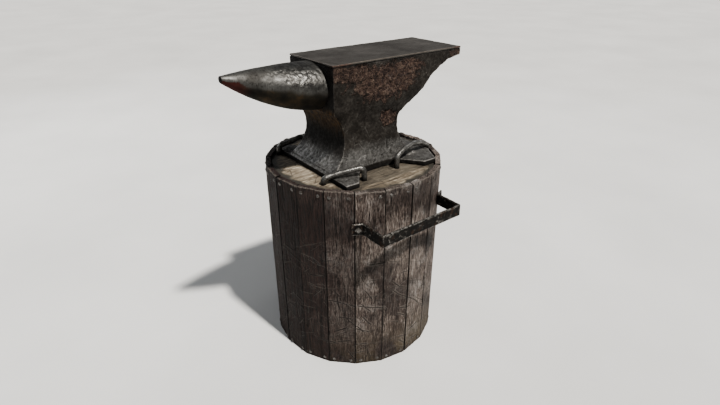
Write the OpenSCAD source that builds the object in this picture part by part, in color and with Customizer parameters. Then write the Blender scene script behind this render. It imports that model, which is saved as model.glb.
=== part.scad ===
// Blacksmith's anvil on a stave-clad wooden stump.
// The origin is the middle of the stump's underside, +Z is up and the horn points along -X.

/* [Stump] */
// Height of the tallest stave
stump_h = 500; // [350:5:700]
// Radius over the corners of the stave ring
stump_r = 225; // [215:1:260]
// Thickness of a stave
stave_t = 13.5; // [8:0.5:20]
// Dark gap between neighbouring staves
stave_gap = 2.4; // [1:0.2:5]
// How much shorter the shortest stave is than the tallest
stave_uneven = 3; // [0:0.5:6]
// How far the top of the core lies below the staves
core_drop = 7.8; // [4:0.2:7.8]

/* [Nails] */
// Radius of a nail's domed head
nail_head_r = 4.4; // [2:0.2:5]
// Height of a nail's domed head
nail_head_h = 1.8; // [1:0.2:3]
// Radius of a nail's shank
nail_shank_r = 1.6; // [1:0.1:2]
// Length of a nail's shank
nail_shank_l = 38; // [20:1:60]
// Distance of a nail from its stave's side edge
nail_inset = 12; // [8:0.5:20]
// Distance of the upper nails from the top of the staves
nail_top_drop = 15; // [10:1:30]
// Distance of the lower nails from the floor
nail_bottom_rise = 11; // [8:1:30]

/* [Anvil] */
// Height of the face above the floor
face_z = 752.6; // [740:0.2:780]
// Thickness of the welded steel face plate
face_t = 5; // [3:0.5:12]
// Width of the block and of the face
block_w = 177; // [150:1:180]
// Length of the face from the horn end to the heel
face_l = 390.4; // [340:0.2:430]
// Distance of the horn end of the block from the stump's axis
horn_end_x = 117; // [112:0.5:122]
// Thickness of the plate that the feet are cut from
foot_t = 12.9; // [10:0.1:20]
// Overall width over the feet
feet_w = 307.4; // [280:0.2:320]
// Width of the block where the flare meets the foot plate
flare_w = 190.6; // [180:0.2:192]

/* [Horn] */
// Length of the horn from the block to its blunt tip
horn_l = 210.7; // [160:0.1:240]
// Half height of the horn at its root
horn_root_h = 53.5; // [45:0.1:56]
// Half width of the horn at its root
horn_root_w = 71.6; // [60:0.1:85]
// Radius of the blunt tip
horn_tip_r = 7.1; // [4:0.1:12]

/* [Staples] */
// Radius of the round bar that the staples are bent from
bar_r = 6.5; // [5:0.1:6.5]
// Depth of a staple's legs in the core
leg_depth = 50; // [30:1:90]
// Radius of the bends between a staple's legs and its crown
bend_r = 11; // [8:0.5:14]

/* [Tool rail] */
// Height of the strap
rail_h = 29.6; // [20:0.2:40]
// Thickness of the strap
rail_t = 5; // [3:0.5:8]
// Height of the strap's upper edge above the floor
rail_top_z = 425; // [300:1:470]
// Distance of the bar's outer face from the stump's axis
rail_reach = 264.5; // [250:0.5:300]
// Length of the tab at each end of the strap
tab_l = 25; // [22:0.5:30]
// Width across the flats of a square bolt head
bolt_head_w = 10.4; // [8:0.2:14]
// Thickness of a bolt head
bolt_head_t = 4; // [3:0.5:7]
// Radius of a bolt's shank
bolt_shank_r = 3.5; // [2.5:0.1:4]
// Length of a bolt's shank
bolt_shank_l = 65; // [40:1:90]

/* [Hidden] */
$fn = 64;
stave_count = 20;
stave_step = 360 / stave_count;
wall_r = stump_r * cos(stave_step / 2);
core_wall_r = wall_r - stave_t;
core_top = stump_h - core_drop;
stave_half_w = stump_r * sin(stave_step / 2) - stave_gap / 2;
nail_heights = [stump_h - nail_top_drop, nail_bottom_rise];

plate_top = core_top + foot_t;
block_top = face_z - face_t;
heel_x = face_l - horn_end_x;
half_w = block_w / 2;

// Arcs of the waist, as centre and radius: two seen from the side, one seen from the end.
horn_arc = [-166.5, 580];
horn_arc_r = 80.5;
heel_arc = [165, 590];
heel_arc_r = 89;
// Height above its centre at which the heel's arc runs into the straight underside.
heel_arc_cut = 26;
// Ends of the waist where it stands on the foot plate.
sole_x = [-126.5, 131];
waist_z = 590;
waist_w = 164;
side_arc_r = 277;
side_arc_y = waist_w / 2 + side_arc_r;

// The strap's two arms, and the axis of its bar.
rail_x = [-117.4, 121.3];
rail_axis_y = -(rail_reach - rail_t / 2);
// The staves that the tabs lie on, as the angle of each stave's outward face.
rail_faces = [-117, -63];
// Distance of a bolt from the start of its tab.
bolt_along = 11;

// Flat sides of the staples' round bar.
bar_sides = 16;
staple_names = ["staple_horn_near", "staple_heel_near", "staple_horn_far", "staple_heel_far"];
// One row for each staple: the places of its two legs, the height above the core where the
// first leg starts to bend, and the bar's slope where it leaves the first bend and where it
// reaches the second one, in degrees, rising and then falling.
staples = [
    [[-64.2, -128.3], [-152.6, -90.3], 19.9, -7.3, 13.8],
    [[42.5, -120.5], [186.4, -78.7], 23.2, 19.9, 35],
    [[-67.3, 129.8], [-139.9, 133.7], 24.5, -18.7, 4.9],
    [[42.5, 120.5], [186.4, 78.7], 23.2, 19.9, 35],
];

function stave_name(i) = str("stave_", i < 10 ? "0" : "", i);
function stave_angle(i) = (i - 0.5) * stave_step;
// A repeatable, uneven drop for each stave's top.
function stave_drop(i) = stave_uneven * (0.5 + 0.5 * sin(i * 137)) * (i % 3 == 0 ? 1 : 0.6);

// ---------- stump ----------

module stump_core() {
    color("BurlyWood")
    difference() {
        linear_extrude(core_top)
            ring_polygon(core_wall_r / cos(stave_step / 2));
        nail_shanks(nail_heights);
        for (row = staples)
            staple_leg_holes(row);
        rail_bolt_shanks();
    }
}

module ring_polygon(r) {
    polygon([for (i = [0 : stave_count - 1]) r * [cos(i * stave_step), sin(i * stave_step)]]);
}

// One flat stave with its nail holes, and a bolt hole where an end of the rail lies on it.
module stave(i) {
    color(i % 2 == 0 ? "#4A4038" : "#433A33")
    difference() {
        rotate(stave_angle(i))
        linear_extrude(stump_h - stave_drop(i))
            stave_plan();
        nail_shanks(nail_heights);
        rail_bolt_shanks();
    }
}

module stave_plan() {
    inner_half_w = stave_half_w - stave_t * tan(stave_step / 2);
    polygon([
        [core_wall_r, -inner_half_w],
        [wall_r, -stave_half_w],
        [wall_r, stave_half_w],
        [core_wall_r, inner_half_w],
    ]);
}

// Puts its children on every nail's place, pointing inwards along -Z from the stave's face.
module each_nail(heights) {
    for (i = [1 : stave_count], side = [-1, 1], z = heights)
        rotate(stave_angle(i))
        translate([wall_r, side * (stave_half_w - nail_inset), z])
        rotate([0, 90, 0])
            children();
}

module nail_shanks(heights) {
    each_nail(heights)
    translate([0, 0, -nail_shank_l])
        cylinder(h = nail_shank_l + 1, r = nail_shank_r, $fn = 24);
}

module nails(heights) {
    dome_r = (nail_head_r * nail_head_r + nail_head_h * nail_head_h) / (2 * nail_head_h);
    color("DimGray")
    each_nail(heights) {
        translate([0, 0, -nail_shank_l])
            cylinder(h = nail_shank_l, r = nail_shank_r, $fn = 24);
        intersection() {
            cylinder(h = nail_head_h, r = nail_head_r, $fn = 24);
            translate([0, 0, nail_head_h - dome_r])
                sphere(dome_r, $fn = 48);
        }
    }
}

// ---------- anvil ----------

module anvil_body() {
    color("#5A5550") {
        intersection() {
            rotate([90, 0, 0])
            linear_extrude(flare_w, center = true)
                side_outline();
            side_flare();
        }
        foot_plate();
    }
}

// Side view of the block, heel and waist: X to the right, Z up.
module side_outline() {
    difference() {
        polygon([
            [-horn_end_x, block_top],
            [-horn_end_x, horn_arc[1] + 63.4],
            [sole_x[0], horn_arc[1] + 50],
            [sole_x[0], plate_top],
            [sole_x[0], plate_top - 1],
            [sole_x[1], plate_top - 1],
            [sole_x[1], plate_top],
            [heel_arc[0] - 38, plate_top + 6],
            [heel_arc[0] - 85.1, heel_arc[1] + heel_arc_cut],
            [150, 666],
            [181, 697],
            [228, 723],
            [heel_x, face_z - 20],
            [heel_x, block_top],
        ]);
        translate(horn_arc)
            circle(horn_arc_r, $fn = 128);
        translate(heel_arc)
        intersection() {
            circle(heel_arc_r, $fn = 128);
            translate([-100, -100])
                square([110, 100 + heel_arc_cut]);
        }
    }
}

// Full width above, drawn in at the waist and flared out onto the foot plate.
module side_flare() {
    difference() {
        union() {
            translate([-horn_end_x, -half_w, waist_z])
                cube([face_l, block_w, block_top - waist_z]);
            translate([-140, -flare_w / 2, plate_top - 1])
                cube([300, flare_w, waist_z - plate_top + 1]);
        }
        for (side = [-1, 1])
            translate([0, side * side_arc_y, waist_z])
            rotate([0, 90, 0])
                cylinder(h = 600, r = side_arc_r, center = true, $fn = 256);
    }
}

// The plate with the four feet, notched on both sides.
module foot_plate() {
    near = [
        [-132.7, -feet_w / 2], [-97.4, -feet_w / 2], [-51.3, -95.3],
        [61.2, -95.3], [105.3, -feet_w / 2], [143.2, -feet_w / 2], [175, -95],
    ];
    far = [for (k = [len(near) - 1 : -1 : 0]) [near[k][0], -near[k][1]]];
    translate([0, 0, core_top])
    linear_extrude(foot_t)
        polygon(concat(near, far));
}

module face_plate() {
    color("#6B6864")
    translate([-horn_end_x, -half_w, block_top])
        cube([face_l, block_w, face_t]);
}

// Half height, half width and top line of the horn, at a share s of its length from the root.
function horn_half_h(s) = horn_tip_r + (horn_root_h - horn_tip_r) * (1 - pow(s, 1.87));
function horn_half_w(s) = horn_half_h(s) * (1 + (horn_root_w / horn_root_h - 1) * (1 - s));
function horn_top(s) = face_z - 3.5 + 9.9 * s - 14 * s * s;

// Joins a list of rings, each with the same number of points, into one closed solid.
module skin(rings) {
    sides = len(rings[0]);
    last = len(rings) - 1;
    walls = [
        for (k = [0 : last - 1], j = [0 : sides - 1])
            let (n = (j + 1) % sides, a = k * sides, b = a + sides)
            each [[a + j, a + n, b + n], [a + j, b + n, b + j]]
    ];
    start = [for (j = [sides - 1 : -1 : 0]) j];
    end = [for (j = [0 : sides - 1]) last * sides + j];
    polyhedron([for (ring = rings) each ring], concat(walls, [start, end]));
}

// Elliptic sections between a flat root and a flat tip.
module horn() {
    sections = 20;
    sides = 40;
    color("#8A8A86")
    skin([
        for (k = [0 : sections])
            let (s = k / sections)
            [
                for (j = [0 : sides - 1])
                    let (a = j * 360 / sides)
                    [
                        -horn_end_x - horn_l * s,
                        horn_half_w(s) * cos(a),
                        horn_top(s) - horn_half_h(s) * (1 - sin(a)),
                    ]
            ]
    ]);
}

// ---------- staples ----------

// Points on an arc of a staple's centre line, from angle a to angle b in equal steps. Each
// row is the distance along the staple, the height, and the angle itself.
function arc_rows(centre, radius, a, b, steps) = [
    for (k = [0 : steps])
        let (angle = a + (b - a) * k / steps)
        [centre[0] + radius * cos(angle), centre[1] + radius * sin(angle), angle]
];

// One bent bar, swept along its centre line: a leg, a bend, the crown, a bend and a leg.
module staple(row) {
    start = row[0];
    run = row[1] - row[0];
    span = norm(run);
    a = 90 + row[3];
    b = 90 - row[4];
    crown_r = bend_r + (span - 2 * bend_r) / (cos(b) - cos(a));
    first = [bend_r, row[2]];
    crown = first - (crown_r - bend_r) * [cos(a), sin(a)];
    second = crown + (crown_r - bend_r) * [cos(b), sin(b)];
    rows = concat(
        [[0, -leg_depth, 180]],
        arc_rows(first, bend_r, 180, a, 5),
        arc_rows(crown, crown_r, a - (a - b) / 8, b + (a - b) / 8, 6),
        arc_rows(second, bend_r, b, 0, 5),
        [[span, -leg_depth, 0]]
    );
    color("#8F8F8C")
    translate([start[0], start[1], core_top])
    rotate(atan2(run[1], run[0]))
    skin([
        for (r = rows)
            [
                for (j = [0 : bar_sides - 1])
                    let (
                        side = bar_r * sin(j * 360 / bar_sides),
                        out = bar_r * cos(j * 360 / bar_sides)
                    )
                    [r[0] + out * cos(r[2]), side, r[1] + out * sin(r[2])]
            ]
    ]);
}

module staple_leg_holes(row) {
    for (leg = [row[0], row[1]])
        translate([leg[0], leg[1], core_top - leg_depth])
            cylinder(h = leg_depth + 1, r = bar_r, $fn = 48);
}

// ---------- tool rail ----------

// Where the middle of an arm meets the face of its stave.
function tab_y(end) = (wall_r - rail_x[end] * cos(rail_faces[end])) / sin(rail_faces[end]);

// Puts its children on the stave's face under a bolt, with Z pointing out of the stump.
module at_bolt(end) {
    translate([rail_x[end], tab_y(end), rail_top_z - rail_h / 2])
    rotate(rail_faces[end])
    translate([0, end == 0 ? -bolt_along : bolt_along, 0])
    rotate([90, 0, 90])
        children();
}

module tool_rail() {
    color("#2B2B2B")
    difference() {
        translate([0, 0, rail_top_z - rail_h])
        linear_extrude(rail_h)
            rail_plan();
        rail_bolt_shanks();
    }
}

// The strap from above: the bar, two arms cut off at the stump's wall, and the two tabs.
module rail_plan() {
    difference() {
        union() {
            translate([rail_x[0], -rail_reach])
                square([rail_x[1] - rail_x[0], rail_t]);
            for (x = rail_x)
                translate([x, rail_axis_y]) {
                    circle(rail_t / 2, $fn = 32);
                    translate([-rail_t / 2, 0])
                        square([rail_t, rail_reach - 180]);
                }
        }
        ring_polygon(stump_r);
    }
    for (end = [0, 1])
        translate([rail_x[end], tab_y(end)])
        rotate(rail_faces[end])
        translate([0, end == 0 ? -tab_l : 0])
            square([rail_t, tab_l]);
}

module rail_bolt_shanks() {
    for (end = [0, 1])
        at_bolt(end)
        translate([0, 0, -bolt_shank_l])
            cylinder(h = bolt_shank_l + 2 * rail_t, r = bolt_shank_r, $fn = 32);
}

module rail_bolts() {
    color("Gray")
    for (end = [0, 1])
        at_bolt(end) {
            translate([0, 0, -bolt_shank_l])
                cylinder(h = bolt_shank_l + rail_t, r = bolt_shank_r, $fn = 32);
            translate([0, 0, rail_t])
            rotate(45)
            translate([-bolt_head_w / 2, -bolt_head_w / 2, 0])
                cube([bolt_head_w, bolt_head_w, bolt_head_t]);
        }
}

anvil_body();
face_plate();
horn();
stump_core();
for (i = [1 : stave_count])
    stave(i);
nails([nail_heights[0]]);  // top_nails
nails([nail_heights[1]]);  // bottom_nails
for (k = [0 : 3])
    staple(staples[k]);
tool_rail();
rail_bolts();
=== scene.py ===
"""A blacksmith's anvil on a stave-clad stump: its looks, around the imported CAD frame.

Everything is in metres, in the row frame: the horn points along -X and the tool rail is on -Y.
"""

import itertools
import math

import bmesh
import bpy
import numpy as np
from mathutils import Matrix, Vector


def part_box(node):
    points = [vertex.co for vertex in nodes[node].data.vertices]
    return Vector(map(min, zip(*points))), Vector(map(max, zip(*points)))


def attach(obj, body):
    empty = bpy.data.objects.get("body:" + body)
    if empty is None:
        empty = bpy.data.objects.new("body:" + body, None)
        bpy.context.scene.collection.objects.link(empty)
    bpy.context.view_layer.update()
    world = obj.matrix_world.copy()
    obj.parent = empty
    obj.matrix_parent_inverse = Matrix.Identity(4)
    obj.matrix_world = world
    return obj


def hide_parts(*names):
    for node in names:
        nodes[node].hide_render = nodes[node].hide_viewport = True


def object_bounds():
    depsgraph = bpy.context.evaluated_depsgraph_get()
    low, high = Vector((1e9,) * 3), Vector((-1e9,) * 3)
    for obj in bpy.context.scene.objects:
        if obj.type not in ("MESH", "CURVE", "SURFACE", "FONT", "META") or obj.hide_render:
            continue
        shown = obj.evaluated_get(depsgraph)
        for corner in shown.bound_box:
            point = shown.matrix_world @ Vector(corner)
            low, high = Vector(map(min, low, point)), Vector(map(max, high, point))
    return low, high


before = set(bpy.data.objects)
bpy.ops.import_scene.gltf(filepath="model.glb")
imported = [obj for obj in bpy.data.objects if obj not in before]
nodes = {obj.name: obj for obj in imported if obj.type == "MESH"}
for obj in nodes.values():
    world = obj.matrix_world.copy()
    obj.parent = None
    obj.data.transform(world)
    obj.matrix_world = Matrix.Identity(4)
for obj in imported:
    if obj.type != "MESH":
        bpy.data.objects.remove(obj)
cad_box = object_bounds()

MM = 0.001
STAVES = [f"stave_{i:02d}" for i in range(1, 21)]
STAPLES = ["staple_horn_near", "staple_heel_near", "staple_horn_far", "staple_heel_far"]

face_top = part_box("face_plate")[1].z
core_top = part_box("stump_core")[1].z
block_low, block_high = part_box("face_plate")
FOOT_THICKNESS = 12.9 * MM
foot_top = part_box("anvil_body")[0].z + FOOT_THICKNESS
HEEL_FOOT_END = 0.175

# Heights on the anvil's waist between which a finish, painted shade and painted light start or end.
SLOPES_END = (0.53, 0.56)
HORN_END_SHADE_START = (0.53, 0.57)
RUNS_START = (0.575, 0.625)
RUNS_END = (0.645, 0.66)
ROOT_START = (0.63, 0.64)

# The ellipse of painted shade round the horn's root: the height of its middle, and its half width and
# height.
ROOT_MIDDLE = 0.695
ROOT_HALF_SIZE = (0.082, 0.064)

# Name, azimuth, elevation, distance, size, power and colour of the weaker lights.
AREA_LIGHTS = [
    ("fill", -95, 36, 3.2, 1.6, 6, (0.9, 0.95, 1.0)),
    ("back", 195, 28, 3.2, 1.6, 26, (0.96, 0.98, 1.0)),
    ("rim", 100, 30, 3.0, 1.0, 7, (0.96, 0.98, 1.0)),
]


# ---------- camera, floor and light ----------

def aim(obj, target):
    """Turns a camera or a light at obj.location towards target."""
    direction = Vector(target) - obj.location
    obj.rotation_euler = direction.to_track_quat("-Z", "Y").to_euler()


def from_angles(azimuth, elevation, distance, target):
    """A point seen from target at these angles: azimuth 0 is towards -Y, 90 towards +X."""
    a, e = math.radians(azimuth), math.radians(elevation)
    back = Vector((math.sin(a) * math.cos(e), -math.cos(a) * math.cos(e), math.sin(e)))
    return Vector(target) + distance * back


def add_camera():
    """The photo's camera, as it was recovered from the ring of staves and the anvil's edges."""
    target = Vector((0.0341, 0.0152, 0.344))
    azimuth, elevation, distance = -37.676, 27.38, 1.3546
    data = bpy.data.cameras.new("camera")
    data.sensor_width = 36
    data.lens = 24.444
    camera = bpy.data.objects.new("camera", data)
    camera.location = from_angles(azimuth, elevation, distance, target)
    aim(camera, target)
    bpy.context.scene.collection.objects.link(camera)
    bpy.context.scene.camera = camera


def add_light(name, kind, azimuth, elevation, distance, power, colour):
    """Adds a light that is aimed at the middle of the object, and returns its settings."""
    middle = (0, 0, 0.5 * cad_box[1][2])
    data = bpy.data.lights.new(name, kind)
    data.energy = power
    data.color = colour
    light = bpy.data.objects.new(name, data)
    light.location = from_angles(azimuth, elevation, distance, middle)
    aim(light, middle)
    bpy.context.scene.collection.objects.link(light)
    return data


def add_studio():
    """A distant key light in front and above, weaker lights round the object, and a pale sky."""
    key = add_light(
        "key", "SUN", azimuth=9, elevation=60, distance=5, power=6.2, colour=(1.0, 0.965, 0.92),
    )
    shadow_softness = math.radians(3.4)
    key.angle = shadow_softness
    for name, azimuth, elevation, distance, size, power, colour in AREA_LIGHTS:
        weaker = add_light(name, "AREA", azimuth, elevation, distance, power, colour)
        weaker.shape = "DISK"
        weaker.size = size
    world = bpy.data.worlds.new("studio")
    world.use_nodes = True
    background = world.node_tree.nodes["Background"]
    background.inputs["Color"].default_value = (0.8, 0.82, 0.85, 1)
    background.inputs["Strength"].default_value = 0.21
    bpy.context.scene.world = world
    bpy.context.scene.view_settings.look = "AgX - Medium High Contrast"


def add_floor():
    """A large, pale floor. It lies just below z = 0, clear of the stump's underside."""
    half_width, drop = 50, 0.2 * MM
    mesh = bpy.data.meshes.new("floor")
    shape = bmesh.new()
    bmesh.ops.create_grid(shape, x_segments=24, y_segments=24, size=half_width)
    for v in shape.verts:
        v.co.z = -drop
    shape.to_mesh(mesh)
    shape.free()
    floor = bpy.data.objects.new("floor", mesh)
    bpy.context.scene.collection.objects.link(floor)
    g = Graph("floor_pale")
    dust = g.noise(g.object_coordinates(), 1.6, detail=4)
    g.colour(g.ramp(dust, [(0.3, (0.5, 0.5, 0.49)), (0.7, (0.56, 0.56, 0.55))]))
    g.roughness(0.85)
    mesh.materials.append(g.material)


# ---------- materials ----------

class Graph:
    """A short way to write a procedural material: a method adds nodes and returns their output."""

    def __init__(self, name):
        self.material = bpy.data.materials.new(name)
        self.material.use_nodes = True
        self.tree = self.material.node_tree
        self.shader = self.tree.nodes["Principled BSDF"]

    def put(self, socket, value):
        """Links an output to a socket, or sets the socket to a number, a vector or a colour."""
        if isinstance(value, bpy.types.NodeSocket):
            self.tree.links.new(value, socket)
        elif hasattr(value, "__len__") and len(value) == 3 and socket.type == "RGBA":
            socket.default_value = (*value, 1)
        else:
            socket.default_value = value

    def add(self, kind, **inputs):
        node = self.tree.nodes.new(kind)
        for name, value in inputs.items():
            self.put(node.inputs[name], value)
        return node

    def object_coordinates(self):
        return self.tree.nodes.new("ShaderNodeTexCoord").outputs["Object"]

    def attribute(self, name, vector=False):
        node = self.tree.nodes.new("ShaderNodeAttribute")
        node.attribute_name = name
        return node.outputs["Vector" if vector else "Fac"]

    def stretched(self, vector, scale):
        node = self.add("ShaderNodeMapping", Vector=vector, Scale=scale)
        return node.outputs["Vector"]

    def turned(self, vector, angles, scale):
        node = self.add("ShaderNodeMapping", Vector=vector, Rotation=angles, Scale=scale)
        return node.outputs["Vector"]

    def noise(self, vector, scale, detail=3, rough=0.55, distortion=0.0):
        node = self.add(
            "ShaderNodeTexNoise", Vector=vector, Scale=scale, Detail=detail,
            Roughness=rough, Distortion=distortion,
        )
        return node.outputs["Fac"]

    def math(self, operation, a, b=0.0, clamp=False):
        node = self.tree.nodes.new("ShaderNodeMath")
        node.operation = operation
        node.use_clamp = clamp
        self.put(node.inputs[0], a)
        self.put(node.inputs[1], b)
        return node.outputs[0]

    def weighed(self, *parts):
        """The sum of values by their weights. A part is a value and its weight."""
        shares = [self.math("MULTIPLY", value, weight) for value, weight in parts]
        total = shares[0]
        for share in shares[1:]:
            total = self.math("ADD", total, share)
        return total

    def varied(self, value, noise, amount):
        """value, raised and lowered by a noise round 0.5, which makes its outlines ragged."""
        change = self.math("MULTIPLY", self.math("SUBTRACT", noise, 0.5), amount)
        return self.math("ADD", value, change)

    def between(self, value, low, high, out_low=0.0, out_high=1.0):
        """value, taken smoothly from low..high to out_low..out_high and held there."""
        node = self.tree.nodes.new("ShaderNodeMapRange")
        node.interpolation_type = "SMOOTHSTEP"
        for k, v in enumerate((value, low, high, out_low, out_high)):
            self.put(node.inputs[k], v)
        return node.outputs[0]

    def line(self, value, width):
        """1 along the middle contour of a noise, falling to 0 a short way off it."""
        off = self.math("ABSOLUTE", self.math("SUBTRACT", value, 0.5))
        return self.between(off, 0.0, width, 1.0, 0.0)

    def scratches(self, plane, cell, length, width, turn, spread, seed):
        """1 in thin straight scratches on a plane (x, y, 0), at most one to a cell. Lengths are metres."""
        bend = self.add("ShaderNodeTexNoise", Vector=plane, Scale=0.7 / cell, Detail=2).outputs["Color"]
        moved = self.add("ShaderNodeMapping", Vector=plane, Location=(seed, 0.37 * seed, 0)).outputs[0]
        bent = self.tree.nodes.new("ShaderNodeVectorMath")
        bent.operation = "MULTIPLY_ADD"
        self.put(bent.inputs[0], bend)
        self.put(bent.inputs[1], (0.5 * length,) * 3)
        self.put(bent.inputs[2], moved)
        cells = self.tree.nodes.new("ShaderNodeTexVoronoi")
        cells.voronoi_dimensions = "2D"
        self.put(cells.inputs["Vector"], bent.outputs[0])
        self.put(cells.inputs["Scale"], 1 / cell)
        chance = self.add("ShaderNodeSeparateColor", Color=cells.outputs["Color"]).outputs
        place = self.place_in_cell(bent, cells, self.varied(turn, chance[0], spread))
        narrow = self.between(self.math("ABSOLUTE", place[1]), 0.3 * width, width, 1.0, 0.0)
        short = self.between(self.math("ABSOLUTE", place[0]), 0.5 * length, length, 1.0, 0.0)
        strength = self.between(chance[1], 0.1, 0.7, 0.15, 1.0)
        return self.math("MULTIPLY", self.math("MULTIPLY", narrow, short), strength)

    def place_in_cell(self, point, cells, angle):
        """x and y from the middle of the point's own cell, along and across a line at an angle."""
        local = self.tree.nodes.new("ShaderNodeVectorMath")
        local.operation = "SUBTRACT"
        self.put(local.inputs[0], point.outputs[0])
        self.put(local.inputs[1], cells.outputs["Position"])
        spun = self.tree.nodes.new("ShaderNodeVectorRotate")
        spun.rotation_type = "Z_AXIS"
        self.put(spun.inputs["Vector"], local.outputs[0])
        self.put(spun.inputs["Angle"], angle)
        return self.add("ShaderNodeSeparateXYZ", Vector=spun.outputs[0]).outputs

    def scratch_layers(self, plane, rows):
        """Several layers of scratches. A row is cell, length, width, turn, spread and seed."""
        return self.most(*[self.scratches(plane, *row) for row in rows])

    def most(self, *values):
        """The largest of several values."""
        largest = values[0]
        for value in values[1:]:
            largest = self.math("MAXIMUM", largest, value)
        return largest

    def ramp(self, value, stops):
        """A colour for each value. A stop is a value and its colour."""
        node = self.add("ShaderNodeValToRGB", Fac=value)
        elements = node.color_ramp.elements
        while len(elements) < len(stops):
            elements.new(0.5)
        for element, (place, colour) in zip(elements, stops):
            element.position = place
            element.color = (*colour, 1)
        return node.outputs["Color"]

    def mix(self, factor, a, b):
        node = self.tree.nodes.new("ShaderNodeMix")
        node.data_type = "RGBA"
        self.put(node.inputs["Factor"], factor)
        self.put(node.inputs["A"], a)
        self.put(node.inputs["B"], b)
        return node.outputs["Result"]

    def colour(self, value):
        self.put(self.shader.inputs["Base Color"], value)

    def roughness(self, value):
        self.put(self.shader.inputs["Roughness"], value)

    def metallic(self, value):
        self.put(self.shader.inputs["Metallic"], value)

    def bump(self, height, depth, below=None):
        """Raises the surface by depth metres where height is 1. below is a bump that this one lies on."""
        node = self.add("ShaderNodeBump", Height=height, Distance=depth, Strength=1.0)
        if below is not None:
            self.put(node.inputs["Normal"], below)
        self.put(self.shader.inputs["Normal"], node.outputs["Normal"])
        return node.outputs["Normal"]


def bare_iron(g, broad, grit, bright):
    """Dark scale in shades of brown-grey, and paler metal where bright is 1: wear, partly painted light."""
    tone = g.weighed((broad, 0.55), (grit, 0.45))
    dark = g.ramp(tone, [
        (0.38, (0.0095, 0.0082, 0.007)),
        (0.47, (0.021, 0.0182, 0.0155)),
        (0.55, (0.038, 0.0335, 0.029)),
        (0.66, (0.078, 0.071, 0.063)),
    ])
    lit = g.ramp(g.weighed((grit, 0.7), (broad, 0.3)), [
        (0.36, (0.055, 0.052, 0.048)),
        (0.5, (0.115, 0.112, 0.106)),
        (0.64, (0.21, 0.206, 0.196)),
    ])
    return g.mix(g.math("MULTIPLY", bright, g.between(tone, 0.38, 0.54, 0.35, 1.0)), dark, lit)


def anvil_iron():
    """Dark forged iron: pitted, with rust patches, scratches and brighter worn edges."""
    g = Graph("anvil_iron")
    where = g.object_coordinates()
    broad = g.noise(where, 17, detail=5, rough=0.62)
    grit = g.noise(where, 140, detail=6, rough=0.7)
    pits = g.noise(where, 420, detail=3, rough=0.6)
    crust = g.noise(where, 120, detail=6, rough=0.72, distortion=0.25)
    runs = g.noise(g.stretched(where, (170, 170, 26)), 1.0, detail=5, rough=0.7)
    bright = g.attribute("bright")
    grime_and_shade = g.attribute("grime_and_shade")
    rust = g.between(g.varied(g.attribute("rust"), grit, 1.6), 0.3, 0.9)
    worn = g.between(g.varied(g.attribute("edge"), grit, 0.9), 0.35, 0.8)
    orange = g.math("MULTIPLY", g.attribute("orange"), g.between(runs, 0.36, 0.66))
    marks = g.scratch_layers(g.attribute("plane", vector=True), [
        (0.026, 0.012, 0.0009, 0.7, 0.9, 3.1),
        (0.018, 0.009, 0.0007, 2.5, 1.0, 7.7),
        (0.045, 0.021, 0.001, 1.3, 1.6, 5.3),
    ])
    scratched = g.between(g.math("ADD", broad, g.math("MULTIPLY", bright, 0.5)), 0.45, 0.85)
    marks = g.math("MULTIPLY", marks, scratched)

    rust_colour = g.ramp(g.weighed((pits, 0.4), (crust, 0.6)), [
        (0.37, (0.005, 0.0033, 0.0027)),
        (0.45, (0.018, 0.0088, 0.0062)),
        (0.5, (0.044, 0.0245, 0.0175)),
        (0.56, (0.082, 0.053, 0.0385)),
        (0.66, (0.155, 0.12, 0.093)),
    ])
    colour = g.mix(rust, bare_iron(g, broad, grit, bright), rust_colour)
    colour = g.mix(g.math("MULTIPLY", worn, 0.6), colour, (0.22, 0.21, 0.195))
    colour = g.mix(g.math("MULTIPLY", marks, 0.5), colour, (0.32, 0.313, 0.298))
    # Dirt and painted shade darken the colour here.
    colour = g.mix(grime_and_shade, colour, (0.005, 0.0042, 0.0036))
    g.colour(g.mix(orange, colour, (0.085, 0.047, 0.018)))
    bare = g.math("SUBTRACT", 1.0, g.math("MAXIMUM", rust, grime_and_shade), clamp=True)
    g.metallic(g.math("MULTIPLY", bare, 0.7))
    g.shader.inputs["Specular IOR Level"].default_value = 0.33
    rough = g.between(grit, 0.3, 0.7, 0.6, 0.4)
    g.roughness(g.math("ADD", rough, g.weighed((rust, 0.25), (grime_and_shade, 0.4)), clamp=True))
    low = g.bump(grit, 1.7 * MM)
    low = g.bump(g.math("MULTIPLY", crust, g.math("ADD", rust, 0.1)), 8 * MM, low)
    g.bump(g.math("SUBTRACT", pits, g.math("MULTIPLY", marks, 0.8)), 0.4 * MM, low)
    return g.material


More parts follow.
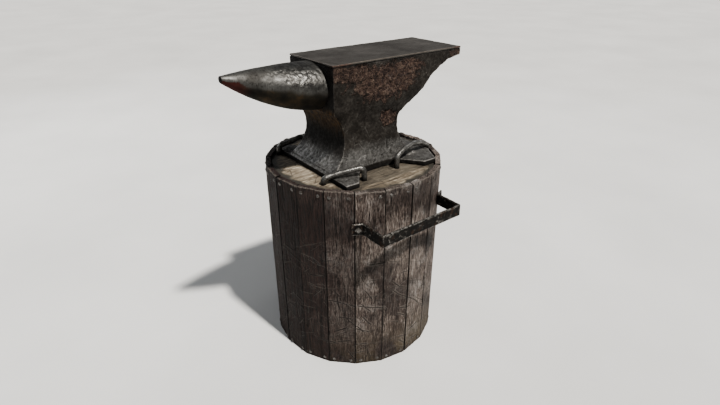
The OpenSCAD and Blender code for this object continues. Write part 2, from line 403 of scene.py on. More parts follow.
def face_steel():
    """The hardened face: dull, finely brushed along its length, with brown stains."""
    g = Graph("face_steel")
    where = g.object_coordinates()
    horn_side_shade = g.noise(where, 12, detail=5, rough=0.62, distortion=0.4)
    brushed = g.noise(g.stretched(where, (45, 700, 700)), 1.0, detail=3)
    crossed = g.noise(g.turned(where, (0, 0, 0.6), (80, 600, 600)), 1.0, detail=2)
    speck = g.noise(where, 260, detail=4, rough=0.7)
    fine = g.math("MULTIPLY", g.math("ADD", brushed, crossed), 0.5)
    rust = g.attribute("rust")
    marks = g.scratch_layers(where, [
        (0.05, 0.03, 0.0009, 0.4, 1.5, 2.3),
        (0.03, 0.016, 0.0008, 2.0, 2.8, 6.1),
    ])
    steel = g.ramp(g.weighed((fine, 0.45), (horn_side_shade, 0.55)), [
        (0.36, (0.033, 0.029, 0.0255)),
        (0.5, (0.064, 0.059, 0.053)),
        (0.63, (0.105, 0.098, 0.09)),
    ])
    steel = g.mix(g.between(speck, 0.58, 0.72, 0.0, 0.6), steel, (0.024, 0.018, 0.014))
    worn = g.between(g.attribute("edge"), 0.15, 0.6)
    steel = g.mix(g.math("MULTIPLY", worn, 0.5), steel, (0.13, 0.108, 0.09))
    steel = g.mix(g.math("MULTIPLY", marks, 0.55), steel, (0.014, 0.012, 0.011))
    steel = g.mix(rust, steel, g.ramp(speck, [
        (0.4, (0.02, 0.009, 0.006)),
        (0.6, (0.085, 0.04, 0.026)),
    ]))
    g.colour(g.mix(g.attribute("grime_and_shade"), steel, (0.006, 0.005, 0.0045)))
    g.metallic(g.math("SUBTRACT", 0.6, g.math("MULTIPLY", rust, 0.4)))
    g.roughness(g.between(fine, 0.3, 0.7, 0.6, 0.46))
    low = g.bump(fine, 0.15 * MM)
    g.bump(g.math("SUBTRACT", speck, marks), 0.3 * MM, low)
    return g.material


def horn_steel():
    """The horn: smoothest where it is worked, brown and darkened by painted shade underneath, dark red at
    the tip's lower side.
    """
    g = Graph("horn_steel")
    where = g.object_coordinates()
    cloud = g.noise(where, 24, detail=5, rough=0.6)
    grit = g.noise(where, 230, detail=5, rough=0.65)
    turned = g.noise(g.stretched(where, (600, 45, 45)), 1.0, detail=3)
    ripple = g.noise(where, 95, detail=3, rough=0.5)
    under = g.attribute("under")
    worked = g.attribute("worked")
    steel = g.ramp(g.weighed((cloud, 0.72), (turned, 0.28)), [
        (0.35, (0.044, 0.0415, 0.038)),
        (0.5, (0.077, 0.0755, 0.071)),
        (0.65, (0.115, 0.114, 0.108)),
    ])
    steel = g.mix(g.between(grit, 0.53, 0.66, 0.0, 0.7), steel, (0.02, 0.0185, 0.0165))
    pitted = g.math("MULTIPLY", worked, g.between(ripple, 0.54, 0.42))
    steel = g.mix(g.math("MULTIPLY", pitted, 0.45), steel, (0.02, 0.0188, 0.017))
    brown = g.ramp(cloud, [
        (0.38, (0.006, 0.0048, 0.003)),
        (0.55, (0.017, 0.0125, 0.006)),
        (0.7, (0.05, 0.028, 0.009)),
    ])
    # The lower half: brown scale, darkened further as painted shade.
    lower = g.between(g.math("ADD", under, g.math("MULTIPLY", cloud, 0.3)), 0.42, 1.0)
    steel = g.mix(lower, steel, brown)
    red = g.math("MULTIPLY", g.attribute("tip"), g.between(g.math("ADD", grit, under), 0.75, 1.1))
    steel = g.mix(red, steel, (0.045, 0.0075, 0.005))
    g.colour(g.mix(g.attribute("grime_and_shade"), steel, (0.004, 0.0035, 0.0035)))
    g.metallic(g.between(under, 0.2, 0.9, 0.9, 0.45))
    smooth = g.math("ADD", cloud, g.math("MULTIPLY", worked, 0.35))
    rough = g.between(smooth, 0.35, 0.85, 0.7, 0.42)
    g.roughness(g.math("ADD", rough, g.math("MULTIPLY", under, 0.2)))
    low = g.bump(turned, 0.1 * MM)
    low = g.bump(g.math("MULTIPLY", ripple, worked), 2.2 * MM, low)
    g.bump(grit, 0.35 * MM, low)
    return g.material


def board_marks(g, where):
    """Cuts across the boards, the paler rims round them, and scuffs, in patches and not near the top."""
    wrap = g.attribute("wrap", vector=True)
    # A row is cell, length, turn, spread and seed. A rim is the same scratch as its cut, but wider.
    rows = [(0.13, 0.1, 0.3, 0.9, 4.2), (0.065, 0.05, 0.4, 1.4, 1.7), (0.04, 0.024, 0.6, 2.2, 9.6)]
    cut_width, rim_width = 2.1 * MM, 5.6 * MM
    cuts = g.most(*[g.scratches(wrap, cell, length, cut_width, *row) for cell, length, *row in rows])
    rims = g.most(*[g.scratches(wrap, cell, length, rim_width, *row) for cell, length, *row in rows])
    scuffs = g.scratch_layers(wrap, [
        (0.12, 0.08, 0.0017, -0.3, 0.9, 8.9),
        (0.05, 0.03, 0.0015, -0.8, 1.9, 6.4),
        (0.03, 0.014, 0.0013, 0.4, 2.6, 2.8),
    ])
    rubbed = g.between(g.noise(where, 8, detail=2), 0.4, 0.53, 0.22, 1.0)
    rubbed = g.math("MULTIPLY", rubbed, g.between(g.attribute("height"), 0.55, 0.85, 1.0, 0.05))
    return [g.math("MULTIPLY", marks, rubbed) for marks in (cuts, rims, scuffs)]


def board_colour(g, where, tone, fibre, streak, patch):
    """The wood before its marks: dark and pale patches, dust, brown soiling at the foot, and painted shade
    on the boards on the horn's side.
    """
    dust = g.noise(where, 17, detail=5, rough=0.7, distortion=0.5)
    pale = g.between(g.noise(where, 6.5, detail=3), 0.47, 0.63, 0.0, 0.28)
    powder = g.math("MULTIPLY", g.between(dust, 0.5, 0.72), g.between(fibre, 0.38, 0.56))
    dark = g.between(patch, 0.53, 0.4, 0.0, 0.55)
    low_down = g.between(g.attribute("height"), 0.0, 0.3, 1.0, 0.0)
    foot = g.math("MULTIPLY", low_down, g.between(patch, 0.37, 0.53))
    wood = g.ramp(tone, [
        (0.42, (0.006, 0.004, 0.0034)),
        (0.46, (0.028, 0.0195, 0.0162)),
        (0.5, (0.075, 0.057, 0.048)),
        (0.54, (0.155, 0.128, 0.111)),
        (0.59, (0.3, 0.27, 0.244)),
    ])
    wood = g.mix(pale, wood, g.ramp(fibre, [(0.4, (0.06, 0.048, 0.04)), (0.58, (0.22, 0.195, 0.172))]))
    wood = g.mix(g.math("MULTIPLY", powder, 0.6), wood, (0.34, 0.325, 0.308))
    wood = g.mix(dark, wood, (0.018, 0.012, 0.0105))
    wood = g.mix(g.math("MULTIPLY", foot, 0.68), wood, (0.046, 0.034, 0.014))
    # Painted shade: the boards on the horn's side are darker and redder.
    return g.mix(g.attribute("horn_side_shade"), wood, g.ramp(streak, [
        (0.42, (0.003, 0.0012, 0.001)),
        (0.6, (0.03, 0.0145, 0.012)),
    ]))


def stave_wood():
    """Old dark boards: fibres and cracks along them, cuts across them and grey worn edges."""
    g = Graph("stave_wood")
    grain = g.attribute("grain", vector=True)
    where = g.object_coordinates()
    fibre = g.noise(g.stretched(grain, (620, 620, 105)), 1.0, detail=4, rough=0.72)
    streak = g.noise(g.stretched(grain, (330, 330, 36)), 1.0, detail=5, rough=0.78, distortion=0.5)
    band = g.noise(g.stretched(grain, (60, 60, 5)), 1.0, detail=3, rough=0.5, distortion=0.6)
    patch = g.noise(where, 11, detail=4, rough=0.55)
    knot = g.noise(g.stretched(grain, (130, 130, 6)), 1.0, detail=3, distortion=1.0)
    cracks = g.math("MULTIPLY", g.line(knot, 0.02), g.between(band, 0.44, 0.6))
    cuts, rims, scuffs = board_marks(g, where)

    board = g.attribute("board_tone")
    tone = g.weighed((streak, 0.44), (fibre, 0.26), (band, 0.14), (patch, 0.16), (board, 0.015))
    wood = board_colour(g, where, tone, fibre, streak, patch)
    wood = g.mix(g.math("MULTIPLY", cracks, 0.9), wood, (0.005, 0.0036, 0.003))
    pale_rims = g.math("MULTIPLY", rims, g.between(g.attribute("horn_side_shade"), 0.0, 0.9, 0.4, 0.09))
    wood = g.mix(pale_rims, wood, (0.2, 0.175, 0.152))
    wood = g.mix(g.math("MULTIPLY", cuts, 0.85), wood, (0.01, 0.0075, 0.006))
    wood = g.mix(g.math("MULTIPLY", scuffs, 0.25), wood, (0.24, 0.215, 0.19))
    worn = g.between(g.varied(g.attribute("edge"), streak, 1.6), 0.4, 0.9, 0.0, 0.6)
    wood = g.mix(worn, wood, (0.2, 0.178, 0.155))
    g.colour(g.mix(g.attribute("grime_and_shade"), wood, (0.006, 0.0045, 0.0035)))
    g.shader.inputs["Specular IOR Level"].default_value = 0.25
    g.roughness(g.between(tone, 0.4, 0.6, 0.55, 0.8))
    low = g.bump(streak, 2.2 * MM)
    low = g.bump(fibre, 1.0 * MM, low)
    g.bump(g.most(cracks, cuts, g.math("MULTIPLY", scuffs, 0.75)), -3.5 * MM, low)
    return g.material


def core_wood():
    """The sawn top of the core: warm tan, wavy grain and saw marks, with stains and painted shade near the
    edges.
    """
    g = Graph("core_wood")
    where = g.object_coordinates()
    warp = g.noise(where, 9, detail=4, rough=0.6)
    turn = (0, 0, -0.45)
    waves = g.turned(where, turn, (16, 130, 130))
    grain = g.noise(waves, 1.0, detail=5, rough=0.65, distortion=1.5)
    fibre = g.noise(g.turned(where, turn, (60, 520, 520)), 1.0, detail=4, rough=0.6)
    cut = g.scratch_layers(where, [
        (0.05, 0.04, 0.0012, 0.3, 1.2, 3.3),
        (0.036, 0.024, 0.0011, 1.7, 1.4, 7.9),
        (0.07, 0.055, 0.0014, -0.5, 0.8, 5.1),
    ])
    tone = g.weighed((grain, 0.5), (fibre, 0.2), (warp, 0.3))
    wood = g.ramp(tone, [
        (0.4, (0.02, 0.0145, 0.009)),
        (0.46, (0.075, 0.058, 0.039)),
        (0.53, (0.18, 0.149, 0.108)),
        (0.61, (0.39, 0.342, 0.268)),
    ])
    wood = g.mix(g.math("MULTIPLY", cut, 0.75), wood, (0.035, 0.024, 0.016))
    stains_and_shade = g.between(g.math("ADD", g.attribute("grime_and_shade"), g.math("MULTIPLY", grain, 0.5)), 0.3, 1.0)
    g.colour(g.mix(stains_and_shade, wood, (0.022, 0.019, 0.0135)))
    g.roughness(g.between(tone, 0.35, 0.65, 0.64, 0.8))
    low = g.bump(grain, 1.8 * MM)
    low = g.bump(fibre, 0.5 * MM, low)
    g.bump(cut, -1.2 * MM, low)
    return g.material


def staple_iron():
    """Round bar, grey on top, with painted shade on its underside, and darker towards where it enters the
    wood.
    """
    g = Graph("staple_iron")
    where = g.object_coordinates()
    cloud = g.noise(where, 60, detail=4, rough=0.6)
    lumps = g.noise(where, 170, detail=3, rough=0.6)
    grit = g.noise(where, 330, detail=5, rough=0.65)
    grime_and_shade = g.attribute("grime_and_shade")
    tone = g.weighed((cloud, 0.5), (grit, 0.5))
    iron = g.ramp(tone, [
        (0.38, (0.03, 0.028, 0.025)),
        (0.47, (0.11, 0.107, 0.1)),
        (0.58, (0.22, 0.216, 0.205)),
    ])
    g.colour(g.mix(grime_and_shade, iron, (0.01, 0.0085, 0.007)))
    g.metallic(g.between(grime_and_shade, 0.0, 1.0, 0.88, 0.3))
    g.roughness(g.between(tone, 0.35, 0.65, 0.5, 0.3))
    low = g.bump(lumps, 1.1 * MM)
    g.bump(grit, 0.4 * MM, low)
    return g.material


def rail_iron():
    """Strap iron with black paint, chipped to grey metal along its edges and in specks, and some rust."""
    g = Graph("rail_iron")
    where = g.object_coordinates()
    cloud = g.noise(where, 46, detail=5, rough=0.7)
    grit = g.noise(where, 210, detail=5, rough=0.7)
    chip = g.weighed((g.attribute("edge"), 0.5), (cloud, 0.62), (grit, 0.38))
    chip = g.between(chip, 0.523, 0.66)
    paint = g.ramp(grit, [
        (0.36, (0.003, 0.0027, 0.0025)),
        (0.56, (0.008, 0.007, 0.0062)),
        (0.7, (0.022, 0.017, 0.013)),
    ])
    metal = g.ramp(grit, [(0.42, (0.01, 0.009, 0.008)), (0.58, (0.2, 0.19, 0.176))])
    rust = g.between(g.noise(where, 60, detail=4), 0.52, 0.66, 0.0, 0.65)
    colour = g.mix(chip, paint, metal)
    g.colour(g.mix(rust, colour, (0.035, 0.018, 0.0105)))
    g.metallic(g.math("MULTIPLY", chip, 0.8))
    g.shader.inputs["Specular IOR Level"].default_value = 0.15
    g.roughness(g.between(chip, 0.0, 1.0, 0.7, 0.42))
    low = g.bump(chip, -0.5 * MM)
    g.bump(grit, 1.0 * MM, low)
    return g.material


def fastener_steel():
    """Nail and bolt heads: grey and dull, with brown patches."""
    g = Graph("fastener_steel")
    where = g.object_coordinates()
    grit = g.noise(where, 420, detail=4, rough=0.65)
    cloud = g.noise(where, 70, detail=3)
    steel = g.ramp(grit, [
        (0.36, (0.035, 0.03, 0.026)),
        (0.5, (0.11, 0.104, 0.097)),
        (0.66, (0.24, 0.235, 0.225)),
    ])
    g.colour(g.mix(g.between(cloud, 0.48, 0.64, 0.0, 0.7), steel, (0.035, 0.019, 0.012)))
    g.metallic(0.7)
    g.roughness(g.between(grit, 0.35, 0.65, 0.55, 0.4))
    g.bump(grit, 0.3 * MM)
    return g.material


# ---------- noise and mesh work ----------

def lattice(cell, seed):
    """A repeatable value from 0 to 1 for each integer cell."""
    h = cell[:, 0] * 73856093 ^ cell[:, 1] * 19349663 ^ cell[:, 2] * 83492791 ^ seed * 40503
    h = ((h ^ (h >> 13)) * 1274126177) & 0xFFFFFFFF
    return ((h ^ (h >> 15)) & 0xFFFF) / 65535.0


def bumps(points, size, seed):
    """Smooth noise from about -1 to 1, with features of the given size: one number, or one per axis."""
    p = points / np.array(size)
    cell = np.floor(p).astype(np.int64)
    f = p - cell
    ease = f * f * f * (f * (6 * f - 15) + 10)
    total = np.zeros(len(points))
    for corner in itertools.product((0, 1), repeat=3):
        corner = np.array(corner)
        weight = np.prod(np.where(corner, ease, 1 - ease), axis=1)
        slope = np.stack([2 * lattice(cell + corner, seed + 17 * k) - 1 for k in range(3)], 1)
        total += weight * (slope * (f - corner)).sum(1)
    return 1.7 * total


def ridges(points, size, seed):
    """Noise from 0 to 1 with sharp crests."""
    return 1 - np.clip(np.abs(2.2 * bumps(points, size, seed)), 0, 1)


def step(x, low, high):
    """0 below low, 1 above high, smooth between."""
    t = np.clip((x - low) / (high - low), 0, 1)
    return t * t * (3 - 2 * t)


def points_of(mesh):
    co = np.empty(len(mesh.vertices) * 3)
    mesh.vertices.foreach_get("co", co)
    return co.reshape(-1, 3)


def normals_of(mesh):
    co = np.empty(len(mesh.vertices) * 3)
    mesh.vertices.foreach_get("normal", co)
    return co.reshape(-1, 3)


def set_points(mesh, co):
    mesh.vertices.foreach_set("co", co.ravel())
    mesh.update()


def set_value(mesh, name, values):
    made = mesh.attributes.new(name, "FLOAT", "POINT")
    made.data.foreach_set("value", np.asarray(values, np.float32))


def set_vector(mesh, name, values):
    made = mesh.attributes.new(name, "FLOAT_VECTOR", "POINT")
    made.data.foreach_set("vector", np.asarray(values, np.float32).ravel())


def convexity(mesh, spread):
    """0 on flats, below 0 in hollows and towards 1 along outside edges, smoothed spread times."""
    co, normal = points_of(mesh), normals_of(mesh)
    edges = np.empty(len(mesh.edges) * 2, np.int64)
    mesh.edges.foreach_get("vertices", edges)
    a, b = edges.reshape(-1, 2).T
    count = np.bincount(a, minlength=len(co)) + np.bincount(b, minlength=len(co))

    def neighbours(values):
        return (
            np.bincount(a, values[b], len(co)) + np.bincount(b, values[a], len(co))
        ) / np.maximum(count, 1)

    middle = np.stack([neighbours(co[:, k]) for k in range(3)], 1)
    length = np.linalg.norm(co[a] - co[b], axis=1).mean()
    bend = -((middle - co) * normal).sum(1) / length
    for _ in range(spread):
        bend = 0.5 * bend + 0.5 * neighbours(bend)
    return np.clip(bend * 6, -1, 1)


def hull_of(node):
    """The convex outline of a CAD node, which leaves out its nail and bolt holes."""
    shape = bmesh.new()
    shape.from_mesh(nodes[node].data)
    made = bmesh.ops.convex_hull(shape, input=shape.verts)
    spare = [e for e in made["geom_interior"] + made["geom_unused"] if isinstance(e, bmesh.types.BMVert)]
    bmesh.ops.delete(shape, geom=spare, context="VERTS")
    mesh = bpy.data.meshes.new(node + "_hull")
    shape.to_mesh(mesh)
    shape.free()
    return mesh


def fine_copy(mesh, voxel, smooth):
    """An even skin of small quads over a mesh, with its edges slightly softened."""
    work = bpy.data.objects.new("work", mesh)
    bpy.context.scene.collection.objects.link(work)
    skin = work.modifiers.new("skin", "REMESH")
    skin.mode = "VOXEL"
    skin.voxel_size = voxel
    soften = work.modifiers.new("soften", "SMOOTH")
    soften.factor = 0.5
    soften.iterations = smooth
    evaluated = work.evaluated_get(bpy.context.evaluated_depsgraph_get())
    made = bpy.data.meshes.new_from_object(evaluated)
    bpy.data.objects.remove(work)
    made.materials.clear()
    return made


def add_piece(name, mesh, material, slot, *replaced):
    """Puts a finished mesh in the scene as a piece that takes the place of CAD nodes."""
    mesh.polygons.foreach_set("use_smooth", [True] * len(mesh.polygons))
    mesh.materials.clear()
    mesh.materials.append(material)
    piece = bpy.data.objects.new(name, mesh)
    bpy.context.scene.collection.objects.link(piece)
    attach(piece, "root")
    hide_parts(*replaced)


def flat_view(co, normal):
    """Each point seen along the axis it faces most, as (x, y, 0): a plane for scratches to lie on."""
    axis = np.abs(normal).argmax(1)
    x = np.where(axis == 0, co[:, 1], co[:, 0])
    y = np.where(axis == 2, co[:, 1], co[:, 2])
    return np.stack([x, y, np.zeros(len(co))], 1)


def block_mesh(name, xs, ys, zs):
    """A closed box of quads, with grid lines at the given places along each axis."""
    counts = (len(xs), len(ys), len(zs))
    outer = np.zeros(counts, bool)
    outer[[0, -1], :, :] = outer[:, [0, -1], :] = outer[:, :, [0, -1]] = True
    index = np.zeros(counts, int)
    index[outer] = np.arange(outer.sum())
    i, j, k = np.nonzero(outer)
    faces = []
    for axis, end in itertools.product(range(3), (0, -1)):
        sheet = np.take(index, end, axis=axis)
        quads = np.stack([sheet[:-1, :-1], sheet[1:, :-1], sheet[1:, 1:], sheet[:-1, 1:]], -1)
        quads = quads.reshape(-1, 4)
        faces.append(quads[:, ::-1] if (end == 0) != (axis == 1) else quads)
    mesh = bpy.data.meshes.new(name)
    mesh.from_pydata(np.stack([xs[i], ys[j], zs[k]], 1).tolist(), [], np.concatenate(faces).tolist())
    mesh.update()
    return mesh


def grid_lines(low, high, pitch, rim=3 * MM):
    """Places from low to high: close together near both ends, then about pitch apart."""
    near = rim * np.array([0, 0.12, 0.3, 0.58])
    count = max(2, round((high - low - 2 * rim) / pitch) + 1)
    return np.concatenate([low + near, np.linspace(low + rim, high - rim, count), high - near[::-1]])


def rounded(co, low, high, radius):
    """A box's surface points, moved onto the same box with rounded edges. radius is one per point."""
    r = radius[:, None]
    inner = np.clip(co, low + r, high - r)
    out = co - inner
    return inner + out * r / np.linalg.norm(out, axis=1)[:, None]


def blob(co, centre, radii, seed, ragged=0.35):
    """1 inside an ellipsoid with a ragged outline, falling to 0 outside it."""
    distance = np.linalg.norm((co - np.array(centre)) / np.array(radii), axis=1)
    distance += ragged * bumps(co, 0.018, seed) + 0.5 * ragged * bumps(co, 0.007, seed + 1)
    return 1 - step(distance, 0.7, 1.15)


def dents(co, places, radius, depth):
    """Shallow round dents in a surface: how far each point moves along its normal."""
    moved = np.zeros(len(co))
    for place in places:
        distance = np.linalg.norm(co - place, axis=1) / radius
        near = distance < 1
        moved[near] = np.minimum(moved[near], -depth * (1 - distance[near] ** 2) ** 1.5)
    return moved


# ---------- anvil ----------

def rust_patches(co):
    """1 in the rust on the block's sides, the waist, two upper corners and the heel's end."""
    near, far = block_low.y, block_high.y
    # Each patch has a middle, radii and a seed.
    return np.maximum.reduce([
        blob(co, (0.03, near, 0.7), (0.105, 0.05, 0.045), 3),
        blob(co, (0.1, near, 0.722), (0.05, 0.05, 0.024), 5),
        0.85 * blob(co, (-0.065, near, 0.727), (0.062, 0.05, 0.022), 6),
        blob(co, (0.045, near, 0.612), (0.034, 0.04, 0.02), 7),
        blob(co, (block_high.x - 0.012, near, 0.738), (0.028, 0.03, 0.014), 9),
        blob(co, (block_low.x + 0.008, near, 0.738), (0.022, 0.03, 0.02), 11),
        blob(co, (0.12, far, 0.7), (0.1, 0.05, 0.04), 13),
        blob(co, (-0.05, far, 0.66), (0.05, 0.05, 0.05), 15),
        blob(co, (0.2, 0.02, 0.71), (0.05, 0.06, 0.04), 17),
    ])


def forged_surface(co, normal, edge, rust):
    """How far each point moves: dents and scale from forging, the eaten rust, and worn edges."""
    moved = 1.0 * MM * bumps(co, 0.07, 21) + 0.65 * MM * bumps(co, 0.02, 22)
    moved += 0.35 * MM * bumps(co, 0.009, 23)
    moved -= 0.6 * MM * ridges(co, (0.036, 0.036, 0.027), 27) ** 3
    eaten = rust * (ridges(co, (0.017, 0.017, 0.012), 24) + 0.6 * ridges(co, 0.0085, 26))
    moved -= 2.3 * MM * eaten * np.abs(normal[:, 1])
    moved -= 1.5 * MM * np.clip(edge, 0, 1) * step(bumps(co, 0.014, 25), 0.1, 0.8)
    under_face = step(co[:, 2], face_top - 9 * MM, face_top - 6 * MM)
    return moved * (1 - under_face)


def bright_iron(co, normal):
    """1 where the waist's sides flare towards the feet, less on the feet's tops and the slopes there: worn
    metal, and painted light on the upward faces.
    """
    up = co[:, 2]
    facing_side = step(np.abs(normal[:, 1]), 0.5, 0.9)
    flare = 1 - step(up + 12 * MM * bumps(co, 0.025, 31), foot_top + 28 * MM, foot_top + 62 * MM)
    above = step(up, foot_top + 1 * MM, foot_top + 5 * MM)
    # Painted light, partly wear: the feet's tops and the upward slopes above them are made paler.
    worn_and_lit_top = step(normal[:, 2], 0.5, 0.9) * (up < foot_top + 3 * MM) * 0.45
    slopes = step(normal[:, 2], 0.25, 0.8) * (1 - step(up, *SLOPES_END)) * 0.75
    return np.clip(flare * above * facing_side + np.maximum(worn_and_lit_top, slopes), 0, 1)


def iron_grime_and_shade(co, normal, base):
    """The dark seam below the face plate, the feet's sides, and painted shade round the horn's root and on
    the horn-end faces below it.
    """
    up = co[:, 2]
    horn_side = -normal[:, 0]
    level = np.hypot(normal[:, 0], normal[:, 1])
    seam = step(up, face_top - 8.2 * MM, face_top - 6.2 * MM) * step(level, 0.3, 0.8)
    half_width, half_height = ROOT_HALF_SIZE
    # Painted shade round the horn's root, on the horn-end face.
    root = 1 - step(np.hypot(co[:, 1] / half_width, (up - ROOT_MIDDLE) / half_height), 0.85, 1.25)
    root *= step(horn_side, 0.6, 0.9) * step(up, *ROOT_START)
    # Painted shade on the waist's faces towards the horn.
    horn_end_shade = step(horn_side, 0.25, 0.7) * step(up, *HORN_END_SHADE_START) * 0.9
    return np.clip(np.maximum.reduce([seam * 0.75, base, root * 0.8, horn_end_shade]), 0, 0.95)


def make_anvil_body(material):
    mesh = fine_copy(nodes["anvil_body"].data, voxel=2.2 * MM, smooth=2)
    co, normal = points_of(mesh), normals_of(mesh)
    edge = convexity(mesh, spread=2)
    rust = rust_patches(co)
    moved = forged_surface(co, normal, edge, rust)
    set_points(mesh, co + normal * moved[:, None])

    up = co[:, 2]
    base = (1 - step(up, foot_top - 3.5 * MM, foot_top - 0.5 * MM)) * 0.8
    under_plate = step(up, face_top - 14 * MM, face_top - 8 * MM)
    orange = step(-normal[:, 0], 0.2, 0.6) * step(up, *RUNS_START) * (1 - step(up, *RUNS_END))
    set_vector(mesh, "plane", flat_view(co, normal))
    set_value(mesh, "rust", np.clip(rust, 0, 1))
    set_value(mesh, "bright", bright_iron(co, normal))
    set_value(mesh, "edge", np.clip(edge, 0, 1) * (1 - 0.7 * base) * (1 - under_plate))
    set_value(mesh, "orange", orange * 0.9)
    set_value(mesh, "grime_and_shade", iron_grime_and_shade(co, normal, base))
    add_piece("anvil_body_forged", mesh, material, "anvil_iron", "anvil_body")


def make_face_plate(material):
    mesh = fine_copy(nodes["face_plate"].data, voxel=1.6 * MM, smooth=1)
    co, normal = points_of(mesh), normals_of(mesh)
    edge = convexity(mesh, spread=2)
    moved = 0.25 * MM * bumps(co, 0.06, 41) + 0.12 * MM * bumps(co, 0.012, 42)
    moved -= 1.2 * MM * np.clip(edge, 0, 1) * step(bumps(co, 0.014, 43), 0.0, 0.7)
    sunk = np.where(normal[:, 2] < -0.5, 0, moved)
    set_points(mesh, co + normal * sunk[:, None])
    low = 1 - step(co[:, 2], face_top - 4.2 * MM, face_top - 2.8 * MM)
    outside = step(np.hypot(normal[:, 0], normal[:, 1]), 0.3, 0.8)
    rust = np.maximum(
        blob(co, (block_high.x, block_low.y, face_top - 3 * MM), (0.03, 0.012, 0.01), 45),
        blob(co, (block_low.x, block_low.y, face_top - 3 * MM), (0.05, 0.012, 0.01), 47),
    )
    set_value(mesh, "edge", np.clip(edge, 0, 1) * step(co[:, 2], face_top - 3 * MM, face_top - 1 * MM))
    set_value(mesh, "rust", rust * outside * 0.8)
    set_value(mesh, "grime_and_shade", low * outside * 0.85)
    add_piece("face_plate_steel", mesh, material, "face_steel", "face_plate")


def horn_mesh(s, sides):
    """A closed skin over elliptic sections at shares s of the length, from the root to the tip."""
    low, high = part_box("horn")
    root_half_width = 0.5 * (high.y - low.y)
    root_half_height, tip_radius = 53.5 * MM, 7.1 * MM
    along = np.clip(s, 0, 1)
    half_height = tip_radius + (root_half_height - tip_radius) * (1 - along ** 1.87)
    half_width = half_height * (1 + (root_half_width / root_half_height - 1) * (1 - along))
    top = face_top + MM * (-3.5 + 9.9 * along - 14 * along ** 2)
    middle = top - half_height
    blunt = np.ones(len(s))
    blunt[-4:] = [0.97, 0.88, 0.7, 0.05]
    a = np.linspace(0, 2 * math.pi, sides, endpoint=False)
    co = np.stack([
        np.repeat(high.x - (high.x - low.x) * s, sides),
        np.outer(half_width * blunt, np.cos(a)).ravel(),
        (middle[:, None] + np.outer(half_height * blunt, np.sin(a))).ravel(),
    ], 1)
    faces = [
        (k * sides + j, (k + 1) * sides + j, (k + 1) * sides + (j + 1) % sides, k * sides + (j + 1) % sides)
        for k in range(len(s) - 1)
        for j in range(sides)
    ]
    faces.append(tuple(range(sides)))
    faces.append(tuple(len(s) * sides - 1 - j for j in range(sides)))
    mesh = bpy.data.meshes.new("horn_steel_mesh")
    mesh.from_pydata(co.tolist(), [], faces)
    mesh.update()
    return mesh


def hammered_places(co, rings, sides):
    """Seeded points of the horn, most of them on its upper near side, not far from the root."""
    rng = np.random.default_rng(7)
    places = []
    for _ in range(170):
        share = rng.beta(1.6, 4.2)
        turn = rng.normal(math.radians(138), math.radians(20))
        ring = int(np.clip(share, 0.02, 0.97) * (rings - 6))
        places.append(co[ring * sides + int(turn / (2 * math.pi) * sides) % sides])
    return places


def make_horn(material):
    """The horn, dented where work is hammered on it."""
    low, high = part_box("horn")
    rings, sides = 190, 144
    s = np.concatenate([[-0.012], np.linspace(0, 1, rings - 5), [1.001, 1.0035, 1.005, 1.005]])
    mesh = horn_mesh(s, sides)
    co, normal = points_of(mesh), normals_of(mesh)
    places = hammered_places(co, rings, sides)
    moved = 0.35 * MM * bumps(co, 0.05, 51) + 0.12 * MM * bumps(co, 0.014, 52)
    moved += dents(co, places[:60], 9 * MM, 0.7 * MM)
    moved += dents(co, places[60:], 4.5 * MM, 0.55 * MM)
    between_ends = step(s, 0.0, 0.03) * (1 - step(s, 0.97, 1.0))
    set_points(mesh, co + normal * (moved * np.repeat(between_ends, sides))[:, None])

    share = (high.x - co[:, 0]) / (high.x - low.x)
    upper_near = step(normal @ np.array([0, -0.7, 0.7]), 0.45, 0.92)
    near_root = 1 - step(high.x - co[:, 0], 0.5 * MM, 5 * MM)
    end_face = step(low.x + 1.5 * MM - co[:, 0], 0, 1 * MM)
    set_value(mesh, "worked", np.exp(-((share - 0.24) / 0.24) ** 2) * upper_near)
    # Painted shade, with some brown scale, on the horn's lower side.
    set_value(mesh, "under", step(-normal[:, 2] + 0.2 * bumps(co, 0.03, 53), -0.4, 0.5))
    set_value(mesh, "tip", 1 - step(co[:, 0] - low.x, 0.02, 0.06))
    # Painted shade in the crease where the horn meets the block; the dark end face is the tip's own colour.
    set_value(mesh, "grime_and_shade", np.clip(near_root * 0.8 + end_face * 0.9, 0, 0.95))
    add_piece("horn_forged", mesh, material, "horn_steel", "horn")


# ---------- stump ----------

def weathered(flat, grain, size, outer, rng):
    """A board's points with rounded edges, grooves along the grain, a cup and a chipped top."""
    half, thick, tall = size
    wear = 0.5 + 0.5 * bumps(grain, (0.03, 0.03, 0.045), 61)
    new = rounded(flat, np.array([-half, 0, 0]), np.array(size), MM * (0.5 + 1.7 * wear * wear))
    grooves = 0.65 * ridges(grain, (0.011, 1, 0.2), 62) ** 3
    grooves += 0.45 * ridges(grain, (0.0052, 1, 0.11), 63) ** 3
    hollow = 0.5 * step(bumps(grain, (0.04, 1, 0.07), 64), 0.1, 0.9)
    new[:, 1] -= outer * MM * (grooves + hollow)
    top = step(flat[:, 2], tall - 14 * MM, tall)
    chips = bumps(grain, (0.013, 0.012, 1), 65) + 0.7 * bumps(grain, (0.0045, 0.007, 1), 66)
    new[:, 2] -= top * MM * 2.2 * np.clip(chips, -0.1, 1)
    corner = step(np.abs(flat[:, 0]), half - 7 * MM, half) * top * outer
    new[:, 2] -= corner * MM * 2.5 * rng.uniform(0, 1)
    return new


